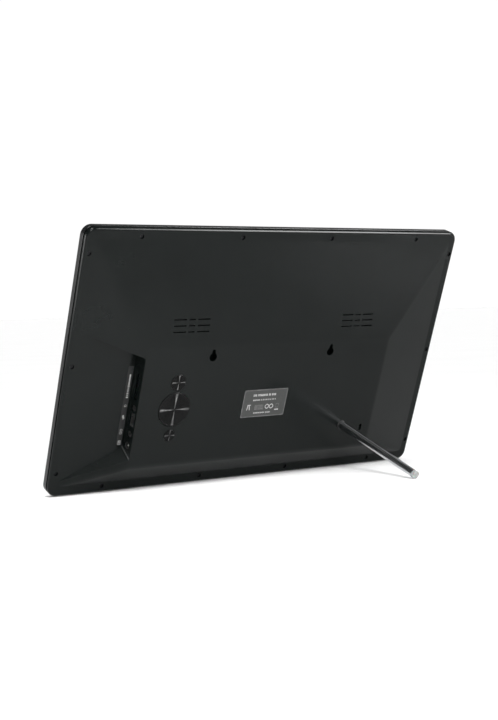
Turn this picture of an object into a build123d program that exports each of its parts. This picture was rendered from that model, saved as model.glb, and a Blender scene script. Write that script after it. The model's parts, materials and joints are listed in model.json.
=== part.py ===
"""Large digital photo frame, leaning back on a rubber-footed lower edge and a screw-in rod.

The frame is drawn lying on its screen: X to the right seen from behind, Y up the frame,
Z out of the back, with Z = 0 on the flat rim of the rear cover. The last section leans the
whole frame back and stands it on Z = 0, with the screen facing -Y.
"""

from build123d import *
import os
from math import atan2, cos, degrees, hypot, radians, sin

# ---- Driving dimensions, millimetres and degrees ------------------------------------------

WIDTH, HEIGHT, CORNER = 444.0, 264.0, 10.0      # outer outline
LEAN = 20.8                                     # backward lean when standing
BEZEL_SIDE = 6.4                                # side wall of the front bezel
GROOVE, GROOVE_DEPTH = 2.4, 1.2                 # dark reveal between the two halves
RIM, RIM_ROUND = 3.4, 3.0                       # side of the rear cover and its rounding
FRONT = -(BEZEL_SIDE + GROOVE + RIM)            # level of the front face
WALL = 2.0                                      # wall of the rear cover
BEZEL_WALL, BEZEL_FACE = 1.6, 2.0               # side wall and face of the front bezel
SKIRT_OUT, SKIRT_IN = 1.75, 2.95                # insets of the skirt that locates the bezel

ROOF = 12.3                                     # height of the plateau over the rim
ROOF_FOOT = (-213.0, 213.0, -121.5, 121.0)      # where the sloping facets meet the rim
PLATEAU = (-147.0, 147.0, -102.5, 20.0)
SOFT_EDGE, LOW_EDGE = 15.0, 10.0                # roundings of the roof's edges, lower ones apart
CEILING = ROOF - WALL

ACTIVE_W, ACTIVE_H = 409.8, 230.4               # visible area of an 18.5 inch 16:9 panel
LCD = (-211.8, 211.8, -121.2, 119.8)            # outline of the display module
LCD_FRONT, LCD_BACK = -10.1, -3.6
SHEET = 0.5                                     # sheet steel of the display frame

SCREW_X = (-165.0, -53.5, 53.5, 165.0)
SCREW_Y = (-107.5, 0.0, 108.0)
SCREW_TOP, SCREW_BOTTOM, SCREW_SIDE = 124.0, -125.0, 216.4
COVER_SCREWS = [(x, y) for y in (SCREW_TOP, SCREW_BOTTOM) for x in SCREW_X]
COVER_SCREWS += [(x, y) for x in (-SCREW_SIDE, SCREW_SIDE) for y in SCREW_Y]
BOSS_END = -5.0                                 # where cover bosses meet the bezel posts
RECESS_R, RECESS = 2.25, 3.0

KEYHOLES = [(-71.7, 8.0), (71.7, 8.0)]
KEYHOLE_R, KEYHOLE_SLOT_R, KEYHOLE_RISE = 4.25, 2.0, 6.0
GRILLES = [(-100.7, 40.0), (100.7, 40.0)]
GRILLE_PITCH, GRILLE_SLOT = 6.0, 1.2
GRILLE_RUNS = [(-13.2, 14.0), (0.0, 7.0), (13.2, 14.0)]     # centre and length of each slot
LOCK_SLOT = (134.7, -81.0)
EAR_X = 26.0                                    # fixing ears of a loudspeaker

BAY_LEFT, BAY_RIGHT, BAY_DRAFT = -213.0, -147.0, 2.7        # sunk port bay
BAY_TOP, BAY_TOP_SLOPE = 9.5, -0.364
BAY_LOW, BAY_LOW_SLOPE, BAY_LOW_LEAN = -85.0, 0.484, -0.869

NAV = (-105.9, -44.3)
NAV_R, NAV_PROUD, NAV_AXIS = 17.5, 0.6, 8.5
SWITCH_REACH = 12.0                             # navigation switches from the disc's centre
POWER = (-106.3, -16.7)
RETURN = (-106.3, -71.7)
POWER_R, RETURN_R = 8.2, 6.0
KEY_GAP = 0.3

BOARD = (-144.0, -16.0, -94.0, -5.0)
BOARD_LOW, BOARD_TOP = 2.8, 4.4
BOARD_POSTS = [(-126.0, -90.0), (-20.0, -90.0), (-20.0, -9.0), (-86.0, -9.5)]
CARRIER_POSTS = [(NAV[0] + dx, NAV[1] + dy) for dx, dy in ((19, 19), (19, -19), (-19, -19))]
CARRIER_LOW, CARRIER_TOP = 5.9, 7.0
SWITCH_TOP = BOARD_TOP + 3.5
SD_Y, EARPHONE_Y, USB_Y, AV_Y, DC_Y = -20.7, -42.4, -54.2, -69.0, -81.5
SD_Z, JACK_Z, USB_Z, DC_Z = 6.2, 6.9, 7.3, 5.75

ROD = (107.4, -76.2)
ROD_R, WASHER, WASHER_R = 4.0, 0.6, 5.0
STUD_R, INSERT_IN, INSERT_OUT = 2.95, 3.0, 4.5
TIP_LENGTH, TIP_ROUND = 4.0, 1.2
FOOT_X, FOOT_LENGTH, FOOT_DROP = 150.0, 34.0, 0.5

CLIP_SPOTS = [(x, y) for x in (-110.0, 110.0) for y in (124.0, -125.4)]
CLIP_POST_TOP = -6.0
IR_SPOT = (0.0, -125.3)
EASE = 0.05                                     # clearance of a screw in its hole


# ---- Helpers used inside a part's block -----------------------------------------------------

def block(x, y, z, mode=Mode.ADD):
    """Add a box that spans the pairs x, y and z."""
    with BuildSketch(Plane.XY.offset(z[0]), mode=Mode.PRIVATE) as face:
        with Locations(((x[0] + x[1]) / 2, (y[0] + y[1]) / 2)):
            Rectangle(x[1] - x[0], y[1] - y[0])
    extrude(face.sketch, amount=z[1] - z[0], mode=mode)


def post(spots, radius, z, mode=Mode.ADD):
    """Add an upright cylinder that spans the pair z at each (x, y) spot."""
    with BuildSketch(Plane.XY.offset(z[0]), mode=Mode.PRIVATE) as face:
        with Locations(*spots):
            Circle(radius)
    extrude(face.sketch, amount=z[1] - z[0], mode=mode)


def outline(inset, z, mode=Mode.ADD):
    """Add a slab with the frame's rounded outline, inset all round, that spans the pair z."""
    with BuildSketch(Plane.XY.offset(z[0]), mode=Mode.PRIVATE) as face:
        RectangleRounded(WIDTH - 2 * inset, HEIGHT - 2 * inset, CORNER - inset)
    extrude(face.sketch, amount=z[1] - z[0], mode=mode)


def roof(foot_level, top_level, mode=Mode.ADD):
    """Add the low hip roof of the back, from the foot outline up to the plateau."""
    faces = []
    for level, (x0, x1, y0, y1) in ((foot_level, ROOF_FOOT), (top_level, PLATEAU)):
        with BuildSketch(Plane.XY.offset(level), mode=Mode.PRIVATE) as face:
            with Locations(((x0 + x1) / 2, (y0 + y1) / 2)):
                Rectangle(x1 - x0, y1 - y0)
        faces.append(face.sketch.face())
    loft(faces, mode=mode)


def bay(grow, floor, top, mode=Mode.ADD):
    """Add the space of the port bay, grown sideways by its wall, between two levels."""
    faces = []
    for level in (floor, top):
        right = BAY_RIGHT - BAY_DRAFT * (ROOF - level) / ROOF + grow
        high = [BAY_TOP + BAY_TOP_SLOPE * (x - BAY_RIGHT) + grow for x in (BAY_LEFT, right)]
        low = [BAY_LOW + BAY_LOW_SLOPE * (x - BAY_RIGHT + BAY_DRAFT) + BAY_LOW_LEAN * level - grow
               for x in (BAY_LEFT, right)]
        with BuildSketch(Plane.XY.offset(level), mode=Mode.PRIVATE) as face:
            with BuildLine():
                Polyline((BAY_LEFT, low[0]), (right, low[1]), (right, high[1]),
                         (BAY_LEFT, high[0]), close=True)
            make_face()
        faces.append(face.sketch.face())
    loft(faces, mode=mode)


def facet_plane(x, y):
    """Plane on the inner face of the upper facet, Z along its outward normal."""
    run = ROOF_FOOT[3] - PLATEAU[3]
    level = CEILING - (y - PLATEAU[3]) * ROOF / run
    return Plane(origin=(x, y, level), x_dir=(1, 0, 0), z_dir=(0, ROOF / run, 1))


def oval(plane, length, width, z, mode=Mode.ADD):
    """Add a slab with round ends on a tilted plane, spanning the pair z along its normal."""
    with BuildSketch(plane.offset(z[0]), mode=Mode.PRIVATE) as face:
        SlotOverall(length, width)
    extrude(face.sketch, amount=z[1] - z[0], mode=mode)


def ears(plane, radius, z, mode=Mode.ADD):
    """Add a disc at both fixing ears of a loudspeaker, spanning the pair z."""
    with BuildSketch(plane.offset(z[0]), mode=Mode.PRIVATE) as face:
        with Locations((-EAR_X, 0), (EAR_X, 0)):
            Circle(radius)
    extrude(face.sketch, amount=z[1] - z[0], mode=mode)


def screws(spots, head_r, shank_r, head, shank_end):
    """Add a pan-head screw with a cross recess at each spot; head spans a pair of levels.

    The shank runs from the head's first level to shank_end, on either side of the head.
    """
    post(spots, head_r, (min(head), max(head)))
    post(spots, shank_r, (min(head[0], shank_end), max(head[0], shank_end)))
    depth = 0.5 * (head[1] - head[0])
    with BuildSketch(Plane.XY.offset(head[1] - depth), mode=Mode.PRIVATE) as cross:
        with Locations(*spots):
            Rectangle(1.3 * head_r, 0.3 * head_r)
            Rectangle(0.3 * head_r, 1.3 * head_r)
    extrude(cross.sketch, amount=depth, mode=Mode.SUBTRACT)


def wire(points, radii, thickness):
    """Add a round lead of straight runs joined by tangent arcs."""
    with BuildLine(mode=Mode.PRIVATE) as path:
        FilletPolyline(*points, radius=radii)
    line = path.wires()[0]
    with BuildSketch(Plane(origin=line @ 0, z_dir=line % 0), mode=Mode.PRIVATE) as section:
        Circle(thickness / 2)
    sweep(section.sketch, path=line)


pieces = {}


def finish(piece, label):
    """Name a finished piece and put it with the others, to be stood up and written."""
    piece.part.label = label
    pieces[label] = piece


# ---- Housing --------------------------------------------------------------------------------

with BuildPart() as front_bezel:
    outline(0, (FRONT, FRONT + BEZEL_SIDE))
    front_edges = front_bezel.edges().group_by(Axis.Z)[0]
    fillet(front_edges, 1.5)
    fillet(front_bezel.edges().group_by(Axis.Z)[-1], 0.4)
    outline(BEZEL_WALL, (FRONT + BEZEL_FACE, FRONT + BEZEL_SIDE), Mode.SUBTRACT)
    block((-ACTIVE_W / 2, ACTIVE_W / 2), (-ACTIVE_H / 2, ACTIVE_H / 2),
          (FRONT, FRONT + BEZEL_FACE), Mode.SUBTRACT)
    window = front_bezel.faces().filter_by(Axis.Z).sort_by(Axis.Z)[0].inner_wires()[0].edges()
    chamfer(window, 1.2)
    post(COVER_SCREWS, 2.5, (FRONT + BEZEL_FACE, BOSS_END - EASE))
    post(COVER_SCREWS, 1.3, (FRONT + BEZEL_FACE + 0.4, BOSS_END), Mode.SUBTRACT)
    post(CLIP_SPOTS, 2.2, (FRONT + BEZEL_FACE, CLIP_POST_TOP))
    post(CLIP_SPOTS, 1.0 + EASE, (FRONT + BEZEL_FACE + 0.4, CLIP_POST_TOP), Mode.SUBTRACT)
    post([(IR_SPOT[0] + side * 6.0, IR_SPOT[1]) for side in (-1, 1)], 1.2,
         (FRONT + BEZEL_FACE, -6.0))
    post([IR_SPOT], 3.0, (FRONT, FRONT + BEZEL_FACE), Mode.SUBTRACT)
finish(front_bezel, "front_bezel")

# Outer form of the back alone: rounded rim plate and the soft-edged hip roof.
with BuildPart() as back_form:
    outline(0, (-RIM, 0))
    fillet(back_form.edges().group_by(Axis.Z)[-1], RIM_ROUND)
    with BuildPart(mode=Mode.PRIVATE) as roof_form:
        roof(0, ROOF)
        raised = roof_form.edges().filter_by(lambda edge: edge.center().Z > ROOF / 4)
        fillet(raised.filter_by(lambda edge: edge.center().Y > PLATEAU[2] + 1), SOFT_EDGE)
        raised = roof_form.edges().filter_by(lambda edge: edge.center().Z > ROOF / 4)
        lower = raised.filter_by(GeomType.LINE).filter_by(lambda edge: edge.center().Y < PLATEAU[2] + 1)
        fillet(lower, LOW_EDGE)
    add(roof_form.part)

# Walls of the port bay, kept within the outer form.
with BuildPart() as bay_walls:
    bay(WALL, -WALL, ROOF + 1)
    add(back_form.part, mode=Mode.INTERSECT)

with BuildPart() as rear_cover:
    add(back_form.part)
    outline(SKIRT_IN, (-RIM, -WALL), Mode.SUBTRACT)
    roof(-WALL, CEILING, Mode.SUBTRACT)
    add(bay_walls.part)
    # skirt behind the groove, and the part of it that enters the bezel
    with BuildPart(mode=Mode.PRIVATE) as skirt:
        outline(GROOVE_DEPTH, (-RIM - GROOVE, -RIM))
        outline(SKIRT_OUT, (-RIM - GROOVE - 3.4, -RIM - GROOVE))
        outline(SKIRT_IN, (-RIM - GROOVE - 3.4, -RIM), Mode.SUBTRACT)
    add(skirt.part)
    # bosses, posts and pockets inside
    post(COVER_SCREWS, 3.5, (BOSS_END, -1.0))
    post(BOARD_POSTS, 3.0, (BOARD_TOP, CEILING + 1))
    post(CARRIER_POSTS, 2.6, (CARRIER_TOP, CEILING + 1))
    post([ROD], 8.0, (1.6, CEILING + 1))
    for grille in GRILLES:
        ears(facet_plane(*grille), 2.6, (-1.05, 1.0))
    for x, y in KEYHOLES:
        block((x - 7.9, x + 7.9), (y - 10.4, y + 10.6), (3.4, CEILING + 1))
        block((x - 6.5, x + 6.5), (y - 9.0, y + 9.2), (4.8, CEILING), Mode.SUBTRACT)
    # openings, from the outside in
    with BuildPart(mode=Mode.PRIVATE) as bay_space:
        bay(0, 0, ROOF + 3)
        corners = bay_space.edges().filter_by(lambda edge: edge.center().X > BAY_RIGHT - 4
                                              and edge.length < 2 * ROOF)
        fillet(corners, 3.0)
    add(bay_space.part, mode=Mode.SUBTRACT)
    with Locations(*[(x, y, 0) for x, y in COVER_SCREWS]):
        CounterBoreHole(1.3 + EASE, RECESS_R, RECESS, depth=-BOSS_END + 1)
    post(KEYHOLES, KEYHOLE_R, (CEILING - 0.5, ROOF + 1), Mode.SUBTRACT)
    top_of_slot = [(x, y + KEYHOLE_RISE) for x, y in KEYHOLES]
    post(top_of_slot, KEYHOLE_SLOT_R, (CEILING - 0.5, ROOF + 1), Mode.SUBTRACT)
    for x, y in KEYHOLES:
        block((x - KEYHOLE_SLOT_R, x + KEYHOLE_SLOT_R), (y, y + KEYHOLE_RISE),
              (CEILING - 0.5, ROOF + 1), Mode.SUBTRACT)
    for grille in GRILLES:
        for row in (-1, 0, 1):
            for centre, length in GRILLE_RUNS:
                with BuildSketch(facet_plane(*grille).offset(-1)) as sound_slot:
                    with Locations((centre, row * GRILLE_PITCH)):
                        SlotOverall(length, GRILLE_SLOT)
                extrude(amount=5, mode=Mode.SUBTRACT)
    post([NAV], NAV_R + 0.45, (CEILING - 1, ROOF + 1), Mode.SUBTRACT)
    post([POWER], POWER_R + KEY_GAP, (CEILING - 1, ROOF + 1), Mode.SUBTRACT)
    post([RETURN], RETURN_R + KEY_GAP, (CEILING - 1, ROOF + 1), Mode.SUBTRACT)
    block((LOCK_SLOT[0] - 1.5, LOCK_SLOT[0] + 1.5), (LOCK_SLOT[1] - 3.5, LOCK_SLOT[1] + 3.5),
          (CEILING - 1, ROOF + 1), Mode.SUBTRACT)
    post(BOARD_POSTS, 1.2 + EASE, (BOARD_TOP, CEILING + 0.6), Mode.SUBTRACT)
    post(CARRIER_POSTS, 1.0 + EASE, (CARRIER_TOP, CEILING + 0.6), Mode.SUBTRACT)
    post([ROD], INSERT_OUT + EASE, (2.6, ROOF + 1), Mode.SUBTRACT)
    for grille in GRILLES:
        ears(facet_plane(*grille), 1.0 + EASE, (-1.05, 0.9), Mode.SUBTRACT)
    # port openings through the end wall of the bay
    port_wall = (BAY_RIGHT - BAY_DRAFT - 1, BAY_RIGHT + WALL + 1)
    block(port_wall, (SD_Y - 12.9, SD_Y + 12.9), (SD_Z - 1.5, SD_Z + 1.5), Mode.SUBTRACT)
    block(port_wall, (USB_Y - 6.8, USB_Y + 6.8), (USB_Z - 3.1, USB_Z + 2.9), Mode.SUBTRACT)
    with BuildSketch(Plane.YZ.offset(port_wall[0])) as round_ports:
        with Locations((EARPHONE_Y, JACK_Z), (AV_Y, JACK_Z)):
            Circle(3.25)
        with Locations((DC_Y, DC_Z)):
            Circle(4.05)
    extrude(amount=port_wall[1] - port_wall[0], mode=Mode.SUBTRACT)
finish(rear_cover, "rear_cover")

with BuildPart() as cover_screws:
    screws(COVER_SCREWS, 2.1, 1.25, (-RECESS, -RECESS + 1.5), FRONT + BEZEL_FACE + 0.8)
finish(cover_screws, "cover_screws")

with BuildPart() as port_label:
    block((-156.4, -150.6), (-83.0, -2.0), (0.0, 0.15))
finish(port_label, "port_label")

with BuildPart() as rating_label:
    block((-26.0, 27.3), (-59.0, -29.3), (ROOF, ROOF + 0.15))
    uprights = rating_label.edges().filter_by(Axis.Z)
    fillet(uprights, 1.0)
finish(rating_label, "rating_label")

# ---- Stand: lean, feet and the screw-in rod ---------------------------------------------------

LEAN_COS, LEAN_SIN = cos(radians(LEAN)), sin(radians(LEAN))


def height_when_leaning(y, z):
    """Height of a point of the lying frame once the frame leans back."""
    return LEAN_COS * y - LEAN_SIN * z


# The table is just below the rounded lower rim, by the drop of the feet.
TABLE = height_when_leaning(-HEIGHT / 2 + RIM_ROUND, -RIM_ROUND) - RIM_ROUND - FOOT_DROP
# The rod's rounded lower edge touches the table too, which sets its length.
tip_centre = height_when_leaning(ROD[1] - ROD_R + TIP_ROUND, 0) - TIP_ROUND - TABLE
ROD_END = tip_centre / LEAN_SIN + TIP_ROUND
ROD_START = ROOF + WASHER

with BuildPart() as feet:
    for side in (-1, 1):
        with BuildSketch(Plane.YZ.offset(side * FOOT_X - FOOT_LENGTH / 2)):
            with BuildLine():
                near, far = FRONT + BEZEL_SIDE - 0.4, FRONT + 1.6
                Polyline((-HEIGHT / 2, near),
                         ((TABLE + LEAN_SIN * near) / LEAN_COS, near),
                         ((TABLE + LEAN_SIN * far) / LEAN_COS, far),
                         (-HEIGHT / 2, far), close=True)
            make_face()
        extrude(amount=FOOT_LENGTH)
finish(feet, "feet")

with BuildPart() as stand_insert:
    post([ROD], INSERT_OUT, (2.8, ROOF - 0.2))
    post([ROD], INSERT_IN, (2.8, ROOF - 0.2), Mode.SUBTRACT)
    with BuildSketch(Plane.XZ.offset(-ROD[1])) as knurl_bands:
        for level in (5.4, 9.2):
            with Locations((ROD[0] + INSERT_OUT, level)):
                Rectangle(0.6, 1.2)
    revolve(axis=Axis((ROD[0], ROD[1], 0), (0, 0, 1)), mode=Mode.SUBTRACT)
finish(stand_insert, "stand_insert")

with BuildPart() as stand_washer:
    post([ROD], WASHER_R, (ROOF, ROOF + WASHER))
    post([ROD], STUD_R + 0.15, (ROOF, ROOF + WASHER), Mode.SUBTRACT)
finish(stand_washer, "stand_washer")

with BuildPart() as stand_stud:
    post([ROD], STUD_R, (4.2, ROD_START + 6.0))
    with BuildSketch(Plane.XZ.offset(-ROD[1])) as thread_grooves:
        for turn in range(8):
            with Locations((ROD[0] + STUD_R, 4.9 + turn)):
                Rectangle(0.5, 0.45)
    revolve(axis=Axis((ROD[0], ROD[1], 0), (0, 0, 1)), mode=Mode.SUBTRACT)
finish(stand_stud, "stand_stud")

with BuildPart() as stand_rod:
    post([ROD], ROD_R, (ROD_START, ROD_END - TIP_LENGTH))
    chamfer(stand_rod.edges().group_by(Axis.Z)[0], 0.4)
    post([ROD], STUD_R, (ROD_START, ROD_START + 6.0), Mode.SUBTRACT)
    post([ROD], 2.4, (ROD_END - TIP_LENGTH - 5.0, ROD_END - TIP_LENGTH), Mode.SUBTRACT)
finish(stand_rod, "stand_rod")

with BuildPart() as stand_tip:
    post([ROD], ROD_R, (ROD_END - TIP_LENGTH, ROD_END))
    fillet(stand_tip.edges().group_by(Axis.Z)[-1], TIP_ROUND)
    post([ROD], 2.4, (ROD_END - TIP_LENGTH - 4.6, ROD_END - TIP_LENGTH))
finish(stand_tip, "stand_tip")

# ---- Display module ---------------------------------------------------------------------------


def lcd_slab(inset, z, mode=Mode.ADD):
    """Add a slab with the display's outline, inset all round."""
    block((LCD[0] + inset, LCD[1] - inset), (LCD[2] + inset, LCD[3] - inset), z, mode)


with BuildPart() as lcd_frame:
    lcd_slab(0, (LCD_FRONT, LCD_BACK))
    lcd_slab(SHEET, (LCD_FRONT + SHEET, LCD_BACK), Mode.SUBTRACT)
    block((-ACTIVE_W / 2 - 0.6, ACTIVE_W / 2 + 0.6), (-ACTIVE_H / 2 - 0.6, ACTIVE_H / 2 + 0.6),
          (LCD_FRONT, LCD_FRONT + SHEET), Mode.SUBTRACT)
finish(lcd_frame, "lcd_frame")

with BuildPart() as lcd_cell:
    lcd_slab(0.8, (LCD_FRONT + SHEET, LCD_FRONT + 1.9))
finish(lcd_cell, "lcd_cell")

with BuildPart() as optical_films:
    lcd_slab(1.6, (LCD_FRONT + 2.0, LCD_FRONT + 2.7))
finish(optical_films, "optical_films")

LED_TOP = LCD[2] + 5.6
with BuildPart() as light_guide:
    block((LCD[0] + 2, LCD[1] - 2), (LED_TOP + 0.3, LCD[3] - 1.6), (LCD_FRONT + 2.8, -4.6))
finish(light_guide, "light_guide")

with BuildPart() as led_bar:
    block((LCD[0] + 4, LCD[1] - 4), (LCD[2] + 1.4, LCD[2] + 2.6), (LCD_FRONT + 2.9, -4.7))
    for number in range(42):
        x = LCD[0] + 9.3 + number * 9.9
        block((x - 2, x + 2), (LCD[2] + 2.6, LED_TOP), (LCD_FRONT + 3.4, -5.0))
finish(led_bar, "led_bar")

with BuildPart() as lcd_tray:
    lcd_slab(0.7, (-4.5, LCD_BACK))
    for x in (-150.0, 150.0):
        block((x - 40, x + 40), (-60, 60), (LCD_BACK, LCD_BACK + 0.4))
        block((x - 39.4, x + 39.4), (-59.4, 59.4), (-4.5, LCD_BACK - 0.4), Mode.SUBTRACT)
    post([(-118.0, -116.5)], 2.0, (-4.5, LCD_BACK), Mode.SUBTRACT)
finish(lcd_tray, "lcd_tray")

DRIVER = (-95.0, -12.0, -113.0, -101.0)
with BuildPart() as lcd_driver_board:
    block(DRIVER[:2], DRIVER[2:], (LCD_BACK, LCD_BACK + 1.0))
    block((-36, -26), (-111, -104), (LCD_BACK + 1.0, LCD_BACK + 2.0))
    for x in range(-90, -76, 3):
        block((x, x + 1.6), (-109, -106), (LCD_BACK + 1.0, LCD_BACK + 1.8))
finish(lcd_driver_board, "lcd_driver_board")

# Z clips hold the display to the bezel: foot on a post, a leg, and a tongue over the display.
CLIP_TOP = LCD_BACK + 0.1
with BuildPart() as lcd_clips:
    for x, y in CLIP_SPOTS:
        side = 1 if y > 0 else -1
        edge = LCD[3] if y > 0 else LCD[2]
        leg = edge + side * 0.3
        with BuildSketch(Plane.YZ.offset(x - 5)):
            with BuildLine():
                Polyline((y + side * 2.4, CLIP_POST_TOP), (leg, CLIP_POST_TOP),
                         (leg, CLIP_TOP), (edge - side * 5, CLIP_TOP),
                         (edge - side * 5, CLIP_TOP + 0.6), (leg + side * 0.6, CLIP_TOP + 0.6),
                         (leg + side * 0.6, CLIP_POST_TOP + 0.6),
                         (y + side * 2.4, CLIP_POST_TOP + 0.6), close=True)
            make_face()
        extrude(amount=10)
    post(CLIP_SPOTS, 1.1, (CLIP_POST_TOP - 1, CLIP_POST_TOP + 2), Mode.SUBTRACT)
finish(lcd_clips, "lcd_clips")

with BuildPart() as clip_screws:
    screws(CLIP_SPOTS, 1.5, 1.0, (CLIP_POST_TOP + 0.6, CLIP_POST_TOP + 1.8), FRONT + 3.0)
finish(clip_screws, "clip_screws")

# ---- Main board and what it carries -----------------------------------------------------------

DC_NOTCH = ((BOARD[0], -131.6), (DC_Y - 5.2, DC_Y + 5.2))
with BuildPart() as main_board:
    block(BOARD[:2], BOARD[2:], (BOARD_LOW, BOARD_TOP))
    block(*DC_NOTCH, (BOARD_LOW, BOARD_TOP), Mode.SUBTRACT)
    post(BOARD_POSTS, 1.4, (BOARD_LOW, BOARD_TOP), Mode.SUBTRACT)
finish(main_board, "main_board")

with BuildPart() as board_screws:
    screws(BOARD_POSTS, 2.4, 1.2, (BOARD_LOW, BOARD_LOW - 1.5), CEILING)
finish(board_screws, "board_screws")

CHIP = (-58.0, -50.0)
with BuildPart() as processor:
    block((CHIP[0] - 9, CHIP[0] + 9), (CHIP[1] - 9, CHIP[1] + 9), (BOARD_TOP, BOARD_TOP + 1.3))
finish(processor, "processor")

SINK_LOW = BOARD_TOP + 1.3
with BuildPart() as heat_sink:
    block((CHIP[0] - 12, CHIP[0] + 12), (CHIP[1] - 12, CHIP[1] + 12), (SINK_LOW, SINK_LOW + 1.2))
    for number in range(8):
        y = CHIP[1] - 12 + number * 23.2 / 7
        block((CHIP[0] - 12, CHIP[0] + 12), (y, y + 0.8), (SINK_LOW + 1.2, CEILING - 0.5))
finish(heat_sink, "heat_sink")

with BuildPart() as memory_chips:
    for x, y, long_x, long_y in ((-34, -40, 12, 8), (-34, -58, 12, 8), (-64, -76, 18, 10)):
        block((x - long_x / 2, x + long_x / 2), (y - long_y / 2, y + long_y / 2),
              (BOARD_TOP, BOARD_TOP + 1.1))
finish(memory_chips, "memory_chips")

with BuildPart() as capacitors:
    post([(-28, -25), (-37, -25), (-46, -25), (-34, -76), (-43, -76)], 3.1,
         (BOARD_TOP, BOARD_TOP + 5.3))
    rims = capacitors.edges().group_by(Axis.Z)[-1]
    fillet(rims, 0.5)
finish(capacitors, "capacitors")

COIN = (-70.0, -26.0)
with BuildPart() as coin_cell_holder:
    block((COIN[0] - 11.5, COIN[0] + 11.5), (COIN[1] - 8, COIN[1] + 8),
          (BOARD_TOP, BOARD_TOP + 4.2))
    post([COIN], 10.2, (BOARD_TOP + 0.9, BOARD_TOP + 4.2), Mode.SUBTRACT)
finish(coin_cell_holder, "coin_cell_holder")

with BuildPart() as coin_cell:
    post([COIN], 10.0, (BOARD_TOP + 0.9, BOARD_TOP + 4.1))
    fillet(coin_cell.edges().group_by(Axis.Z)[-1], 0.4)
finish(coin_cell, "coin_cell")

DISPLAY_PLUG, BACKLIGHT_PLUG, SPEAKER_PLUGS = (-58.0, -87.5), (-106.0, -88.5), (-52.0, -40.0)
IR_PLUG = (-30.0, -89.5)
with BuildPart() as board_connectors:
    block((DISPLAY_PLUG[0] - 10, DISPLAY_PLUG[0] + 10),
          (DISPLAY_PLUG[1] - 2, DISPLAY_PLUG[1] + 2), (BOARD_TOP, BOARD_TOP + 2.4))
    block((DISPLAY_PLUG[0] - 10, DISPLAY_PLUG[0] + 10), (-108.5, -104.5),
          (LCD_BACK + 1.0, LCD_BACK + 3.0))
    for x, y in (BACKLIGHT_PLUG, IR_PLUG):
        block((x - 3, x + 3), (y - 2, y + 2), (BOARD_TOP, BOARD_TOP + 3.2))
    for x in SPEAKER_PLUGS:
        block((x - 3, x + 3), (-12.0, -8.0), (BOARD_TOP, BOARD_TOP + 3.2))
finish(board_connectors, "board_connectors")

# ---- Ports, facing the bay ----------------------------------------------------------------------

PORT_FRONT = BAY_RIGHT - 0.4
CARD_Z = (SD_Z - 1.1, SD_Z + 1.1)
with BuildPart() as card_socket:
    block((-145.4, -118.4), (SD_Y - 14.2, SD_Y + 14.2), (BOARD_TOP, SD_Z + 1.5))
    block((-145.4, -121.4), (SD_Y - 12.2, SD_Y + 12.2), CARD_Z, Mode.SUBTRACT)
finish(card_socket, "card_socket")

USB_BACK = PORT_FRONT + 14.0
with BuildPart() as usb_shell:
    block((PORT_FRONT, USB_BACK), (USB_Y - 6.55, USB_Y + 6.55), (USB_Z - 2.85, USB_Z + 2.6))
    block((PORT_FRONT, USB_BACK - 0.3), (USB_Y - 6.25, USB_Y + 6.25),
          (USB_Z - 2.55, USB_Z + 2.3), Mode.SUBTRACT)
finish(usb_shell, "usb_shell")

with BuildPart() as usb_tongue:
    block((USB_BACK - 4.3, USB_BACK - 0.4), (USB_Y - 6.2, USB_Y + 6.2),
          (USB_Z - 2.5, USB_Z + 2.25))
    block((PORT_FRONT + 0.8, USB_BACK - 4.3), (USB_Y - 5.3, USB_Y + 5.3),
          (USB_Z + 0.3, USB_Z + 2.1))
finish(usb_tongue, "usb_tongue")

with BuildPart() as audio_jacks:
    for y in (EARPHONE_Y, AV_Y):
        block((-144.6, -132.0), (y - 4, y + 4), (BOARD_TOP, JACK_Z + 2.6))
    with BuildSketch(Plane.YZ.offset(PORT_FRONT)):
        with Locations((EARPHONE_Y, JACK_Z), (AV_Y, JACK_Z)):
            Circle(3.0)
    extrude(amount=3.2)
    with BuildSketch(Plane.YZ.offset(PORT_FRONT)):
        with Locations((EARPHONE_Y, JACK_Z), (AV_Y, JACK_Z)):
            Circle(1.8)
    extrude(amount=13.5, mode=Mode.SUBTRACT)
finish(audio_jacks, "audio_jacks")

with BuildPart() as dc_jack:
    block((-144.6, -132.4), (DC_Y - 4.5, DC_Y + 4.5), (DC_Z - 4.3, DC_Z + 4.3))
    with BuildSketch(Plane.YZ.offset(PORT_FRONT)):
        with Locations((DC_Y, DC_Z)):
            Circle(3.85)
    extrude(amount=3.2)
    with BuildSketch(Plane.YZ.offset(PORT_FRONT)):
        with Locations((DC_Y, DC_Z)):
            Circle(2.85)
    extrude(amount=10.0, mode=Mode.SUBTRACT)
finish(dc_jack, "dc_jack")

with BuildPart() as dc_pin:
    with BuildSketch(Plane.YZ.offset(PORT_FRONT + 1.0)):
        with Locations((DC_Y, DC_Z)):
            Circle(1.0)
    extrude(amount=9.0)
    fillet(dc_pin.edges().group_by(Axis.X)[0], 0.6)
finish(dc_pin, "dc_pin")

# ---- Keys -----------------------------------------------------------------------------------------

NAV_SWITCHES = [(NAV[0] + dx * SWITCH_REACH, NAV[1] + dy * SWITCH_REACH)
                for dx, dy in ((1, 0), (-1, 0), (0, 1), (0, -1))]
with BuildPart() as tact_switches:
    for x, y in NAV_SWITCHES + [POWER, RETURN]:
        block((x - 3, x + 3), (y - 3, y + 3), (BOARD_TOP, SWITCH_TOP))
    post(NAV_SWITCHES + [POWER, RETURN], 1.85, (BOARD_TOP + 1.5, SWITCH_TOP), Mode.SUBTRACT)
finish(tact_switches, "tact_switches")

with BuildPart() as nav_switch_stems:
    post(NAV_SWITCHES, 1.75, (BOARD_TOP + 1.9, SWITCH_TOP + 1.1))
finish(nav_switch_stems, "nav_switch_stems")

KEY_FLANGE = (CEILING - 1.1, CEILING - 0.3)


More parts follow.
